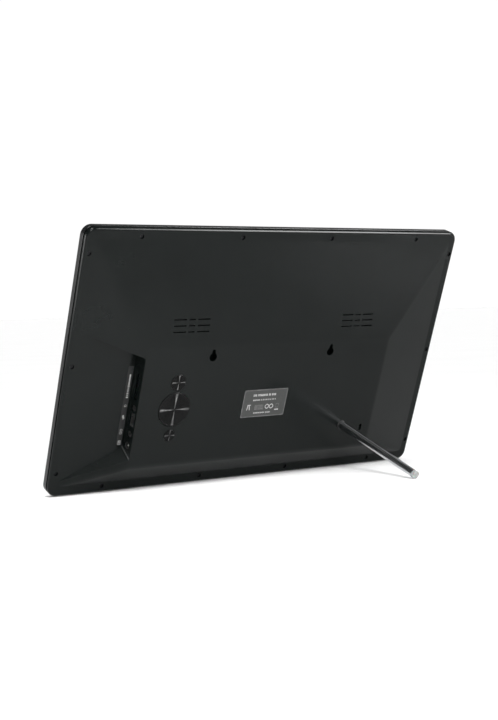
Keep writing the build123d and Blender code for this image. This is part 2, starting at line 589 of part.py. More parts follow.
def key(spot, radius):
    """Add a round key: domed edge, turned grooves and a flange that keeps it in the cover."""
    post([spot], radius, (KEY_FLANGE[1], ROOF + 0.5))
    rim = faces().sort_by(Axis.Z)[-1].edges()
    fillet(rim, 0.4)
    with BuildSketch(Plane.XY.offset(ROOF + 0.3), mode=Mode.PRIVATE) as grooves:
        with Locations(spot):
            for ring in range(1, int(radius / 1.6)):
                Circle(ring * 1.6)
                Circle(ring * 1.6 - 0.4, mode=Mode.SUBTRACT)
                if ring > 1:
                    Circle((ring - 1) * 1.6)
    extrude(grooves.sketch, amount=0.3, mode=Mode.SUBTRACT)
    post([spot], radius + 1.4, KEY_FLANGE)


with BuildPart() as power_button:
    key(POWER, POWER_R)
finish(power_button, "power_button")

with BuildPart() as return_button:
    key(RETURN, RETURN_R)
finish(return_button, "return_button")

STEM = (BOARD_TOP + 2.1, KEY_FLANGE[0])
with BuildPart() as power_switch_stem:
    post([POWER], 1.75, STEM)
finish(power_switch_stem, "power_switch_stem")

with BuildPart() as return_switch_stem:
    post([RETURN], 1.75, STEM)
finish(return_switch_stem, "return_switch_stem")

# The disc rocks on a ring: its outer pins lie along X in the carrier, the hub's pins along Y.
PIN_R, RING_IN, RING_OUT = 0.6, 4.2, 6.0
RING_Z = (NAV_AXIS - 0.9, NAV_AXIS + 0.9)


def cross_pins(plane, reach, radius, mode=Mode.ADD):
    """Add a pin or bore through the disc's centre, along the plane's normal."""
    with BuildSketch(plane, mode=Mode.PRIVATE) as section:
        Circle(radius)
    extrude(section.sketch, amount=reach, both=True, mode=mode)


nav_centre = (NAV[0], NAV[1], NAV_AXIS)
ALONG_X = Plane(origin=nav_centre, z_dir=(1, 0, 0))
ALONG_Y = Plane(origin=nav_centre, z_dir=(0, 1, 0))
with BuildPart() as nav_gimbal:
    cross_pins(ALONG_X, 8.2, PIN_R)
    post([NAV], RING_OUT, RING_Z)
    post([NAV], RING_IN, RING_Z, Mode.SUBTRACT)
    cross_pins(ALONG_Y, 8.2, PIN_R + EASE, Mode.SUBTRACT)
finish(nav_gimbal, "nav_gimbal")

with BuildPart() as nav_carrier:
    post([NAV], 8.5, (CARRIER_LOW, CARRIER_TOP))
    for x, y in CARRIER_POSTS:
        reach = hypot(x - NAV[0], y - NAV[1])
        arm = Plane(origin=(*NAV, CARRIER_LOW), z_dir=(0, 0, 1)).rotated(
            (0, 0, degrees(atan2(y - NAV[1], x - NAV[0]))))
        with BuildSketch(arm):
            with Locations((reach / 2, 0)):
                Rectangle(reach, 5)
        extrude(amount=CARRIER_TOP - CARRIER_LOW)
    post(CARRIER_POSTS, 3.0, (CARRIER_LOW, CARRIER_TOP))
    for side in (-1, 1):
        ear = sorted(NAV[0] + side * reach for reach in (6.5, 8.2))
        block(ear, (NAV[1] - 1.6, NAV[1] + 1.6), (CARRIER_LOW, NAV_AXIS + 1.2))
    cross_pins(ALONG_X, 9.0, PIN_R + EASE, Mode.SUBTRACT)
    post(CARRIER_POSTS, 1.15, (CARRIER_LOW, CARRIER_TOP), Mode.SUBTRACT)
finish(nav_carrier, "nav_carrier")

with BuildPart() as carrier_screws:
    screws(CARRIER_POSTS, 1.9, 1.0, (CARRIER_LOW, CARRIER_LOW - 1.1), CEILING)
finish(carrier_screws, "carrier_screws")

NAV_FACE = ROOF + NAV_PROUD
DISC_LOW = CEILING + 0.4
with BuildPart() as nav_disc:
    post([NAV], NAV_R, (DISC_LOW, NAV_FACE))
    fillet(faces().sort_by(Axis.Z)[-1].edges(), 0.5)
    with BuildSketch(Plane.XY.offset(NAV_FACE - 0.25)) as turned_grooves:
        with Locations(NAV):
            for ring in range(2, 11):
                Circle(ring * 1.6)
                Circle(ring * 1.6 - 0.4, mode=Mode.SUBTRACT)
                Circle((ring - 1) * 1.6)
            Circle(1.6, mode=Mode.SUBTRACT)
    extrude(amount=0.3, mode=Mode.SUBTRACT)
    post([NAV], 2.6, (RING_Z[0], DISC_LOW))
    cross_pins(ALONG_Y, 5.9, PIN_R)
    post(NAV_SWITCHES, 1.3, (SWITCH_TOP + 1.6, DISC_LOW))
finish(nav_disc, "nav_disc")

# ---- Loudspeakers, flat against the upper facet ---------------------------------------------------

speakers = {"left": facet_plane(*GRILLES[0]), "right": facet_plane(*GRILLES[1])}

with BuildPart() as speaker_gaskets:
    for plane in speakers.values():
        oval(plane, 46.2, 21, (-1.05, -0.05))
        oval(plane, 42.5, 16, (-1.05, -0.05), Mode.SUBTRACT)
finish(speaker_gaskets, "speaker_gaskets")

with BuildPart() as speaker_baskets:
    for plane in speakers.values():
        oval(plane, 47, 21, (-5.3, -1.1))
        ears(plane, 3.4, (-2.3, -1.1))
        oval(plane, 43.5, 17.5, (-4.4, -1.1), Mode.SUBTRACT)
        oval(plane, 14.1, 14.1 - 0.01, (-5.3, -4.4), Mode.SUBTRACT)
        ears(plane, 1.1, (-2.3, -1.1), Mode.SUBTRACT)
finish(speaker_baskets, "speaker_baskets")

with BuildPart() as speaker_surrounds:
    for plane in speakers.values():
        oval(plane, 43.4, 17.4, (-2.2, -1.6))
        oval(plane, 39.0, 13.0, (-2.2, -1.6), Mode.SUBTRACT)
finish(speaker_surrounds, "speaker_surrounds")

with BuildPart() as speaker_magnets:
    for plane in speakers.values():
        with BuildSketch(plane.offset(-7.9)):
            Circle(7.0)
        extrude(amount=3.4)
        with BuildSketch(plane.offset(-6.9)):
            Circle(5.3)
            Circle(4.2, mode=Mode.SUBTRACT)
        extrude(amount=2.4, mode=Mode.SUBTRACT)
finish(speaker_magnets, "speaker_magnets")

for side, plane in speakers.items():
    with BuildPart() as cone:
        oval(plane, 38.4, 12.4, (-2.7, -2.1))
        with BuildSketch(plane.offset(-2.1)):
            Circle(5.2)
        with BuildSketch(plane.offset(-1.5)):
            Circle(3.4)
        loft()
        with BuildSketch(plane.offset(-6.0)):
            Circle(5.0)
            Circle(4.5, mode=Mode.SUBTRACT)
        extrude(amount=3.4)
    finish(cone, side + "_speaker_cone")

with BuildPart() as speaker_screws:
    for plane in speakers.values():
        ears(plane, 2.0, (-3.5, -2.3))
        ears(plane, 1.0, (-2.3, 0.4))
finish(speaker_screws, "speaker_screws")

# ---- Leads ----------------------------------------------------------------------------------------

with BuildPart() as speaker_leads:
    for (gx, gy), plug, turn_x in zip(GRILLES, SPEAKER_PLUGS, (-52.0, -40.0)):
        start_x = gx + (26.0 if gx < 0 else -26.0)
        wire([(start_x, gy - 12.5, 0.6), (start_x, gy - 22.0, 0.2), (turn_x, gy - 29.0, 0.2),
              (turn_x, -1.0, 0.2), (plug, -1.6, 6.2), (plug, -8.0, 6.2)],
             [4.0, 4.0, 3.5, 2.4], 1.4)
finish(speaker_leads, "speaker_leads")

with BuildPart() as display_ribbon:
    rise, level = -106.5, BOARD_TOP + 1.2
    with BuildLine(mode=Mode.PRIVATE) as ribbon_path:
        FilletPolyline((DISPLAY_PLUG[0], rise, LCD_BACK + 3.0), (DISPLAY_PLUG[0], rise, level),
                       (DISPLAY_PLUG[0], DISPLAY_PLUG[1] - 2, level), radius=3.0)
    ribbon_line = ribbon_path.wires()[0]
    with BuildSketch(Plane(origin=ribbon_line @ 0, x_dir=(1, 0, 0), z_dir=ribbon_line % 0)):
        Rectangle(18, 0.5)
    sweep(path=ribbon_line)
finish(display_ribbon, "display_ribbon")

with BuildPart() as backlight_lead:
    wire([(-118.0, -116.5, -4.4), (-118.0, -116.5, -1.4), (-118.0, -104.0, -1.4),
          (-106.0, -98.0, 6.0), (-106.0, -90.5, 6.0)], [1.3, 5.0, 3.4], 1.4)
finish(backlight_lead, "backlight_lead")

# ---- Remote-control receiver in the lower bezel ---------------------------------------------------

with BuildPart() as ir_window:
    post([IR_SPOT], 2.95, (FRONT, FRONT + BEZEL_FACE))
    post([IR_SPOT], 3.7, (FRONT + BEZEL_FACE, FRONT + BEZEL_FACE + 0.3))
finish(ir_window, "ir_window")

with BuildPart() as ir_receiver:
    block((IR_SPOT[0] - 3.2, IR_SPOT[0] + 3.2), (IR_SPOT[1] - 2.6, IR_SPOT[1] + 2.6), (-8.6, -6.0))
    with Locations((*IR_SPOT, -8.6)):
        Cylinder(2.0, 1.2, align=(Align.CENTER, Align.CENTER, Align.MAX))
finish(ir_receiver, "ir_receiver")

with BuildPart() as ir_board:
    block((IR_SPOT[0] - 8, IR_SPOT[0] + 8), (IR_SPOT[1] - 3.2, IR_SPOT[1] + 3.2), (-6.0, -5.0))
finish(ir_board, "ir_board")

with BuildPart() as ir_lead:
    wire([(4.0, -123.8, -5.0), (4.0, -123.8, -2.72), (4.0, -112.0, -2.72),
          (4.0, -100.0, 4.0), (-30.0, -99.0, 6.0), (-30.0, -91.5, 6.0)],
         [0.9, 6.0, 5.0, 3.4], 0.8)
finish(ir_lead, "ir_lead")

# ---- Stand the frame up and write it ----------------------------------------------------------------

LEANING = Location(Plane(origin=(0, 0, 0), x_dir=(-1, 0, 0), z_dir=(0, LEAN_COS, -LEAN_SIN)))
for piece in pieces.values():
    piece.part.move(LEANING)
box = Compound([piece.part for piece in pieces.values()]).bounding_box()
STANDING = Location((0, -box.center().Y, -TABLE))

os.makedirs("parts", exist_ok=True)
for label, piece in pieces.items():
    piece.part.move(STANDING)
    export_step(piece.part, f"parts/{label}.step")

print("pieces", len(pieces), "rod length", round(ROD_END - ROD_START, 1))
print("box", box.size, "lowest", box.min.Z - TABLE, "shift", -box.center().Y, -TABLE)
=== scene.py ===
"""Digital photo frame, standing with its back to the camera.

Adds materials, print and turned key faces to the CAD frame, then floor, light and camera.
"""
import json
import math
import random

import bmesh
import bpy
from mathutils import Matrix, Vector


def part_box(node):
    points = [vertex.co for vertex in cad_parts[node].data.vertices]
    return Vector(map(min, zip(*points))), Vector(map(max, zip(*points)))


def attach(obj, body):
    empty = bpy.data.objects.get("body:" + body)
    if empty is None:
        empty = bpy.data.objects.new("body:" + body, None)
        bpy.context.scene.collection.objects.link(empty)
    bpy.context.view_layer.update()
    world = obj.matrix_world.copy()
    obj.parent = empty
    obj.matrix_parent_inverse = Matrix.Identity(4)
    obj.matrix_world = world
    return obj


MM = 0.001

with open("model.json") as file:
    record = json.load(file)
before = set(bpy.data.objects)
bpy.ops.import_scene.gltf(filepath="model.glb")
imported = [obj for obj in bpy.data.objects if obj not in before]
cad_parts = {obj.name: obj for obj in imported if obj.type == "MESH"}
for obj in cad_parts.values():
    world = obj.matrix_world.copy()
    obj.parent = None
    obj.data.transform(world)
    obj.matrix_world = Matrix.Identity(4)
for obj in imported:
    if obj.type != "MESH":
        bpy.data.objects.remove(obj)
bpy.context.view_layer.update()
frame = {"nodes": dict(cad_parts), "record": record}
nodes = frame["nodes"]


# ---------------------------------------------------------------- the frame's own directions
# The housing leans back, so its directions and its middle are read from the two keyhole mounts.

mounts = {mount["name"]: mount for mount in frame["record"]["mounts"]}
KEYHOLE_HEIGHT = 8 * MM        # of the keyholes over the middle of the housing
KEYHOLE_DEPTH = 11.3 * MM      # of their mounts over the rim, out of the back
OUT = Vector(mounts["keyhole_right"]["axis"]).normalized()
keyhole_left = Vector(mounts["keyhole_left"]["pos_m"])
keyhole_right = Vector(mounts["keyhole_right"]["pos_m"])
ACROSS = (keyhole_left - keyhole_right).normalized()
UP = OUT.cross(ACROSS)
MIDDLE = (keyhole_left + keyhole_right) / 2 - KEYHOLE_HEIGHT * UP - KEYHOLE_DEPTH * OUT


def at(x, y, z):
    """The point x mm to the right as seen from behind, y mm up the housing, z mm out of its back."""
    return MIDDLE + MM * (x * ACROSS + y * UP + z * OUT)


def along(point):
    """The same three distances, in mm, of a point in the frame."""
    offset = (Vector(point) - MIDDLE) / MM
    return Vector((offset.dot(ACROSS), offset.dot(UP), offset.dot(OUT)))


def centre(node):
    """The middle of a node's box, as distances along the housing."""
    low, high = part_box(node)
    return along((low + high) / 2)


# ---------------------------------------------------------------- materials

WAVE_PERIOD = 0.3142           # distance between the bands of a wave texture at scale 1
COLOUR_A, COLOUR_B, MIXED_COLOUR = 6, 7, 2      # sockets of a mix node that mixes colours
RANGE_SOCKETS = ("From Min", "From Max", "To Min", "To Max")


class Finish:
    """A Principled material in the making. Sizes and depths are in mm."""

    def __init__(self, name, colour, roughness, metallic=0.0, **levels):
        self.material = bpy.data.materials.new(name)
        self.material.use_nodes = True
        self.tree = self.material.node_tree
        self.shader = self.tree.nodes["Principled BSDF"]
        self.shader.inputs["Base Color"].default_value = (*colour, 1)
        self.shader.inputs["Roughness"].default_value = roughness
        self.shader.inputs["Metallic"].default_value = metallic
        for level, value in levels.items():
            self.shader.inputs[level.replace("_", " ")].default_value = value
        self.place = self.add("ShaderNodeTexCoord").outputs["Object"]
        self.normal = None

    def add(self, kind, **settings):
        node = self.tree.nodes.new(kind)
        for setting, value in settings.items():
            setattr(node, setting, value)
        return node

    def link(self, output, target):
        self.tree.links.new(output, target)

    def stretched(self, stretch):
        """The place in the object, stretched along each axis of the leaning housing."""
        mapping = self.add("ShaderNodeMapping", vector_type="TEXTURE")
        mapping.inputs["Scale"].default_value = stretch
        mapping.inputs["Rotation"].default_value = (-math.atan2(UP.y, UP.z), 0, 0)
        self.link(self.place, mapping.inputs["Vector"])
        return mapping.outputs["Vector"]

    def noise(self, size, detail=3, stretch=None):
        """Cloudy noise from 0 to 1, with features of about this size."""
        texture = self.add("ShaderNodeTexNoise")
        texture.inputs["Scale"].default_value = 1 / (size * MM)
        texture.inputs["Detail"].default_value = detail
        self.link(self.stretched(stretch) if stretch else self.place, texture.inputs["Vector"])
        return texture.outputs["Fac"]

    def cells(self, size, stretch=None, feature="F1"):
        """Distance from the middles, or the borders, of random cells of this size."""
        texture = self.add("ShaderNodeTexVoronoi", feature=feature)
        texture.inputs["Scale"].default_value = 1 / (size * MM)
        self.link(self.stretched(stretch) if stretch else self.place, texture.inputs["Vector"])
        return texture.outputs["Distance"]

    def bands(self, pitch, direction="X", wobble=0.0):
        """Even bands across one direction of the housing."""
        texture = self.add("ShaderNodeTexWave", bands_direction=direction)
        texture.inputs["Scale"].default_value = WAVE_PERIOD / (pitch * MM)
        texture.inputs["Distortion"].default_value = wobble
        self.link(self.stretched((1, 1, 1)), texture.inputs["Vector"])
        return texture.outputs["Fac"]

    def between(self, factor, low, high, start=0.3, end=0.7):
        """The factor's range from start to end, spread from low to high."""
        spread = self.add("ShaderNodeMapRange")
        self.link(factor, spread.inputs["Value"])
        for socket, value in zip(RANGE_SOCKETS, (start, end, low, high)):
            spread.inputs[socket].default_value = value
        return spread.outputs["Result"]

    def rays(self, sharpness):
        """Four narrow rays from the middle of a round upright face, the mask of a painted cross of
        glints: 1 on a ray, 0 between them.
        """
        parts = self.add("ShaderNodeSeparateXYZ")
        self.link(self.add("ShaderNodeTexCoord").outputs["Generated"], parts.inputs["Vector"])
        rise = self.figure("SUBTRACT", parts.outputs["Z"], 0.5)
        run = self.figure("SUBTRACT", parts.outputs["X"], 0.5)
        turn = self.figure("ARCTAN2", rise, run)
        wave = self.figure("COSINE", self.figure("MULTIPLY", turn, 2))
        return self.figure("POWER", self.figure("ABSOLUTE", wave), sharpness)

    def figure(self, operation, first, second=None):
        """One step of arithmetic; the second term is another output or a number."""
        step = self.add("ShaderNodeMath", operation=operation)
        self.link(first, step.inputs[0])
        if isinstance(second, (int, float)):
            step.inputs[1].default_value = second
        elif second is not None:
            self.link(second, step.inputs[1])
        return step.outputs["Value"]

    def tint(self, factor, first, second):
        """Mixes the base colour from first to second by the factor."""
        mix = self.add("ShaderNodeMix", data_type="RGBA")
        self.link(factor, mix.inputs["Factor"])
        mix.inputs[COLOUR_A].default_value = (*first, 1)
        mix.inputs[COLOUR_B].default_value = (*second, 1)
        self.link(mix.outputs[MIXED_COLOUR], self.shader.inputs["Base Color"])
        return self

    def worn(self, factor, low, high):
        """Lets the roughness wander from low to high."""
        self.link(self.between(factor, low, high), self.shader.inputs["Roughness"])
        return self

    def relief(self, height, depth):
        """Raises the surface by the height map, up to this depth, on top of earlier reliefs."""
        bump = self.add("ShaderNodeBump")
        bump.inputs["Distance"].default_value = depth * MM
        self.link(height, bump.inputs["Height"])
        if self.normal:
            self.link(self.normal, bump.inputs["Normal"])
        self.normal = bump.outputs["Normal"]
        self.link(self.normal, self.shader.inputs["Normal"])
        return self


def moulded(name, dark, light, low, high, spark=0.35, spark_depth=0.002, **levels):
    """Injection-moulded plastic: a fine spark-eroded skin with slow changes of colour and gloss."""
    finish = Finish(name, dark, low, **levels)
    finish.tint(finish.between(finish.noise(45, 4), 0, 1), dark, light)
    finish.worn(finish.noise(60, 3), low, high)
    finish.relief(finish.noise(spark, 2), spark_depth)
    return finish


def metal(name, dark, light, low, high, brush=(1, 1, 1), **levels):
    """Bare or plated metal with fine drawing marks along its length."""
    finish = Finish(name, dark, low, metallic=1.0, **levels)
    finish.tint(finish.between(finish.noise(6, 4), 0, 1), dark, light)
    finish.worn(finish.noise(1.2, 5, stretch=brush), low, high)
    finish.relief(finish.noise(0.5, 3, stretch=brush), 0.003)
    return finish


def housing_black():
    return moulded("housing_black", (0.002, 0.0032, 0.0029), (0.0032, 0.0046, 0.0043), 0.2, 0.26,
                   Specular_IOR_Level=0.13)


def bezel_black():
    return moulded("bezel_black", (0.0045, 0.005, 0.005), (0.007, 0.0078, 0.0078), 0.1, 0.18,
                   spark=0.8, spark_depth=0.002, Specular_IOR_Level=0.26, Coat_Weight=0.04)


def key_black():
    return moulded("key_black", (0.003, 0.0032, 0.0032), (0.005, 0.0052, 0.0052), 0.24, 0.32,
                   Specular_IOR_Level=0.1)


def painted_glint_key():
    """Gloss black with a painted cross of glints: four rays of lighter, metallic colour stand for the
    highlights that turned grooves throw under soft lamps.
    """
    finish = Finish("painted_glint_key", (0.0024, 0.0026, 0.0026), 0.1, Specular_IOR_Level=0.07)
    # painted highlight: the rays lighten the base colour and raise the metallic, a fixed cross of
    # glints that does not follow the lamps
    painted_glint = finish.figure("MULTIPLY", finish.rays(110), finish.between(finish.noise(7, 3), 0.25, 1.0))
    finish.tint(painted_glint, (0.0022, 0.0024, 0.0024), (0.22, 0.22, 0.22))
    finish.link(painted_glint, finish.shader.inputs["Metallic"])
    finish.worn(finish.noise(1.5, 4), 0.1, 0.16)
    return finish


def screw_black():
    return metal("screw_black", (0.015, 0.015, 0.016), (0.04, 0.04, 0.042), 0.35, 0.5)


def steel():
    return metal("steel", (0.42, 0.42, 0.41), (0.6, 0.6, 0.58), 0.24, 0.4, brush=(12, 1, 1))


def rod_chrome():
    finish = Finish("rod_chrome", (0.5, 0.51, 0.52), 0.07, metallic=1.0)
    finish.tint(finish.between(finish.noise(5, 4), 0, 1), (0.42, 0.43, 0.44), (0.52, 0.53, 0.54))
    finish.worn(finish.noise(2.5, 5, stretch=(1, 1, 8)), 0.14, 0.22)
    finish.relief(finish.noise(0.8, 2, stretch=(1, 1, 8)), 0.0015)
    return finish


def brass():
    return metal("brass", (0.46, 0.31, 0.11), (0.62, 0.44, 0.18), 0.22, 0.38)


def rubber():
    finish = Finish("rubber", (0.012, 0.012, 0.012), 0.75, Specular_IOR_Level=0.35)
    finish.tint(finish.between(finish.noise(4, 5), 0, 1), (0.009, 0.009, 0.009), (0.022, 0.022, 0.021))
    finish.worn(finish.noise(2, 4), 0.62, 0.85)
    finish.relief(finish.cells(0.5), 0.02)
    return finish


def soft_tip():
    finish = Finish("soft_tip", (0.5, 0.51, 0.51), 0.2, Transmission_Weight=0.45,
                    Subsurface_Weight=0.2, IOR=1.46)
    finish.shader.inputs["Subsurface Scale"].default_value = 2 * MM
    finish.tint(finish.between(finish.noise(3, 3), 0, 1), (0.4, 0.42, 0.42), (0.58, 0.59, 0.58))
    finish.worn(finish.noise(1.2, 3), 0.14, 0.26)
    return finish


def label_film():
    finish = Finish("label_film", (0.05, 0.05, 0.05), 0.5, Specular_IOR_Level=0.4)
    finish.tint(finish.between(finish.noise(0.6, 2), 0, 1), (0.019, 0.021, 0.02), (0.032, 0.033, 0.032))
    finish.worn(finish.noise(3, 4), 0.42, 0.6)
    finish.relief(finish.noise(0.25, 2), 0.004)
    return finish


def label_ink():
    finish = Finish("label_ink", (0.32, 0.32, 0.31), 0.55)
    finish.tint(finish.between(finish.noise(0.9, 3), 0, 1), (0.2, 0.2, 0.2), (0.42, 0.42, 0.41))
    finish.worn(finish.noise(1, 2), 0.45, 0.65)
    return finish


def label_half_tone():
    finish = Finish("label_half_tone", (0.09, 0.09, 0.09), 0.55)
    finish.tint(finish.between(finish.noise(4, 3), 0, 1), (0.05, 0.05, 0.05), (0.12, 0.12, 0.118))
    finish.worn(finish.noise(1, 2), 0.45, 0.65)
    return finish


def port_ink():
    finish = Finish("port_ink", (0.3, 0.3, 0.29), 0.5)
    finish.tint(finish.between(finish.noise(5, 3), 0, 1), (0.16, 0.16, 0.16), (0.4, 0.4, 0.39))
    finish.worn(finish.noise(1, 2), 0.4, 0.6)
    return finish


def port_film():
    finish = Finish("port_film", (0.008, 0.009, 0.009), 0.35, Specular_IOR_Level=0.3)
    finish.tint(finish.between(finish.noise(2, 3), 0, 1),
                (0.005, 0.0056, 0.0056), (0.012, 0.0128, 0.0128))
    finish.worn(finish.noise(4, 4), 0.3, 0.45)
    finish.relief(finish.noise(0.4, 2), 0.003)
    return finish


def screen_glass():
    finish = Finish("screen_glass", (0.004, 0.0045, 0.006), 0.12, Specular_IOR_Level=0.45,
                    Coat_Weight=0.6, Coat_Roughness=0.04)
    finish.tint(finish.between(finish.noise(60, 2), 0, 1),
                (0.0035, 0.004, 0.0055), (0.006, 0.0066, 0.0085))
    finish.worn(finish.noise(35, 6), 0.1, 0.2)
    finish.relief(finish.noise(0.12, 1), 0.0006)
    return finish


def white_film():
    finish = Finish("white_film", (0.7, 0.7, 0.69), 0.4)
    finish.tint(finish.between(finish.noise(30, 2), 0, 1), (0.66, 0.66, 0.65), (0.74, 0.74, 0.73))
    finish.relief(finish.bands(0.3), 0.01)
    return finish


def clear_acrylic():
    finish = Finish("clear_acrylic", (0.86, 0.9, 0.9), 0.08, Transmission_Weight=0.8, IOR=1.49)
    finish.tint(finish.between(finish.noise(50, 2), 0, 1), (0.82, 0.88, 0.88), (0.92, 0.94, 0.94))
    finish.relief(finish.cells(1.2), 0.02)
    return finish


def light_emitters():
    finish = Finish("light_emitters", (0.8, 0.74, 0.4), 0.35)
    finish.tint(finish.between(finish.bands(6), 0, 1), (0.75, 0.75, 0.73), (0.85, 0.68, 0.2))
    finish.worn(finish.noise(1, 2), 0.3, 0.45)
    return finish


def circuit_board():
    finish = Finish("circuit_board", (0.01, 0.09, 0.03), 0.35, Specular_IOR_Level=0.5)
    traces = finish.between(finish.cells(3.2, feature="DISTANCE_TO_EDGE"), 0, 1, 0.05, 0.12)
    finish.tint(traces, (0.03, 0.19, 0.07), (0.008, 0.075, 0.025))
    finish.worn(finish.noise(3, 4), 0.28, 0.42)
    finish.relief(traces, -0.03)
    return finish


def chip_epoxy():
    finish = Finish("chip_epoxy", (0.014, 0.014, 0.015), 0.55)
    finish.tint(finish.between(finish.noise(0.3, 3), 0, 1), (0.011, 0.011, 0.012), (0.03, 0.03, 0.031))
    finish.worn(finish.noise(0.8, 3), 0.48, 0.66)
    finish.relief(finish.noise(0.15, 2), 0.008)
    return finish


def aluminium():
    return metal("aluminium", (0.55, 0.56, 0.57), (0.72, 0.73, 0.74), 0.28, 0.45, brush=(1, 10, 1))


def nylon(name, dark, light):
    return moulded(name, dark, light, 0.38, 0.5, spark=0.5, spark_depth=0.012)


def cone_paper():
    finish = Finish("cone_paper", (0.03, 0.03, 0.032), 0.85, Specular_IOR_Level=0.2)
    finish.tint(finish.between(finish.noise(1.2, 6), 0, 1), (0.018, 0.018, 0.019), (0.05, 0.05, 0.05))
    finish.relief(finish.noise(0.5, 6), 0.06)
    return finish


def ferrite():
    finish = Finish("ferrite", (0.025, 0.025, 0.028), 0.5, metallic=0.4)
    finish.tint(finish.between(finish.noise(0.6, 5), 0, 1), (0.016, 0.016, 0.018), (0.05, 0.05, 0.055))
    finish.worn(finish.noise(0.8, 4), 0.4, 0.62)
    finish.relief(finish.noise(0.4, 4), 0.02)
    return finish


def foam():
    finish = Finish("foam", (0.015, 0.015, 0.015), 0.95, Specular_IOR_Level=0.1)
    finish.tint(finish.between(finish.cells(0.5), 0, 1, 0.1, 0.6),
                (0.004, 0.004, 0.004), (0.03, 0.03, 0.03))
    finish.relief(finish.cells(0.5), 0.15)
    return finish


def lead_sheath():
    finish = Finish("lead_sheath", (0.02, 0.02, 0.02), 0.4)
    finish.tint(finish.between(finish.noise(3, 3), 0, 1), (0.015, 0.015, 0.015), (0.03, 0.03, 0.03))
    finish.worn(finish.noise(2, 3), 0.34, 0.5)
    return finish


def flat_ribbon():
    finish = Finish("flat_ribbon", (0.55, 0.36, 0.12), 0.3)
    finish.tint(finish.between(finish.bands(1.0), 0, 1), (0.42, 0.24, 0.06), (0.7, 0.5, 0.22))
    finish.worn(finish.noise(2, 3), 0.25, 0.4)
    return finish


def ir_plastic():
    finish = Finish("ir_plastic", (0.03, 0.002, 0.004), 0.08, Transmission_Weight=0.35, Coat_Weight=0.5)
    finish.tint(finish.between(finish.noise(2, 2), 0, 1), (0.02, 0.0015, 0.003), (0.045, 0.003, 0.006))
    finish.worn(finish.noise(1.5, 3), 0.06, 0.13)
    return finish


finishes = {
    "cover_plastic": housing_black(),
    "bezel_plastic": bezel_black(),
    "key_plastic": key_black(),
    "black_screw": screw_black(),
    "plain_steel": steel(),
    "chrome": rod_chrome(),
    "brass": brass(),
    "rubber": rubber(),
    "soft_tip": soft_tip(),
    "label_grey": label_film(),
    "port_print": port_film(),
    "screen": screen_glass(),
    "film": white_film(),
    "acrylic": clear_acrylic(),
    "led": light_emitters(),
    "circuit_board": circuit_board(),
    "chip": chip_epoxy(),
    "aluminium": aluminium(),
    "nylon_black": nylon("nylon_black", (0.01, 0.01, 0.01), (0.016, 0.016, 0.016)),
    "nylon_white": nylon("nylon_white", (0.66, 0.65, 0.6), (0.74, 0.73, 0.69)),
    "cone_paper": cone_paper(),
    "magnet": ferrite(),
    "foam": foam(),
    "lead": lead_sheath(),
    "ribbon": flat_ribbon(),
    "ir_plastic": ir_plastic(),
}

for node in nodes.values():
    for holder in node.material_slots:
        slot_name = holder.material.name.split(".")[0]
        holder.material = finishes[slot_name].material

# the tongue of the socket is moulded in black
nodes["usb_tongue"].material_slots[0].material = finishes["nylon_black"].material


# ---------------------------------------------------------------- printed marks

def piece(name, mesh, finish, body="root"):
    """Makes the bmesh a named object that rides on a body."""
    data = bpy.data.meshes.new(name)
    mesh.to_mesh(data)
    mesh.free()
    thing = bpy.data.objects.new(name, data)
    bpy.context.scene.collection.objects.link(thing)
    data.materials.append(finish.material)
    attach(thing, body)
    return thing


def ink(mesh, outline, low, high):
    """Adds one closed island of ink: an outline of (x, y) in mm between two depths."""
    bottom = [mesh.verts.new(at(x, y, low)) for x, y in outline]
    top = [mesh.verts.new(at(x, y, high)) for x, y in outline]
    mesh.faces.new(top)
    mesh.faces.new(list(reversed(bottom)))
    for index in range(len(outline)):
        after = (index + 1) % len(outline)
        mesh.faces.new((bottom[index], bottom[after], top[after], top[index]))


def bar(x, y, width, height, slant=0.0):
    """A rectangle about its middle, counter-clockwise, leaning by slant."""
    half, rise = width / 2, height / 2
    return [(x - half - slant, y - rise), (x + half - slant, y - rise),
            (x + half + slant, y + rise), (x - half + slant, y + rise)]


def ring(x, y, radius, width, sides=28):
    """A circle's band as a fan of short quads."""
    quads = []
    for step in range(sides):
        first = math.tau * step / sides
        second = math.tau * (step + 1) / sides
        quads.append([(x + r * math.cos(a), y + r * math.sin(a))
                      for r, a in ((radius, first), (radius, second),
                                   (radius - width, second), (radius - width, first))][::-1])
    return quads


def dashes(x_start, x_end, y, height, seed, longest=1.7, gap=0.3, word=0.12):
    """A row of small bars of uneven length, as a printed line looks from afar."""
    draw = random.Random(seed)
    bars = []
    x = x_start
    while x < x_end - 0.6:
        width = min(draw.uniform(0.7, longest), x_end - x)
        bars.append(bar(x + width / 2, y, width, height))
        x += width + gap + (0.9 if draw.random() < word else 0)
    return bars


FILM = 0.15                    # thickness of the two label films
INK, INK_FLOAT = 0.02, 0.01    # thickness of a printed mark and its gap over the film


def printed(name, outlines, face, finish):
    """Makes one piece of all the outlines, printed on the film whose face is this far out."""
    mesh = bmesh.new()
    for outline in outlines:
        ink(mesh, outline, face, face + INK)
    return piece(name, mesh, finish)


label = centre("rating_label")
label_low, label_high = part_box("rating_label")
LABEL_FACE = label.z + FILM / 2 + INK_FLOAT
LABEL_WIDTH = (label_high.x - label_low.x) / MM
LABEL_HEIGHT = 29.7            # measured up the leaning housing
LABEL_ROUND = 3.2              # of the border's two round corners
BORDER_INSET, BORDER = 0.25, 0.7


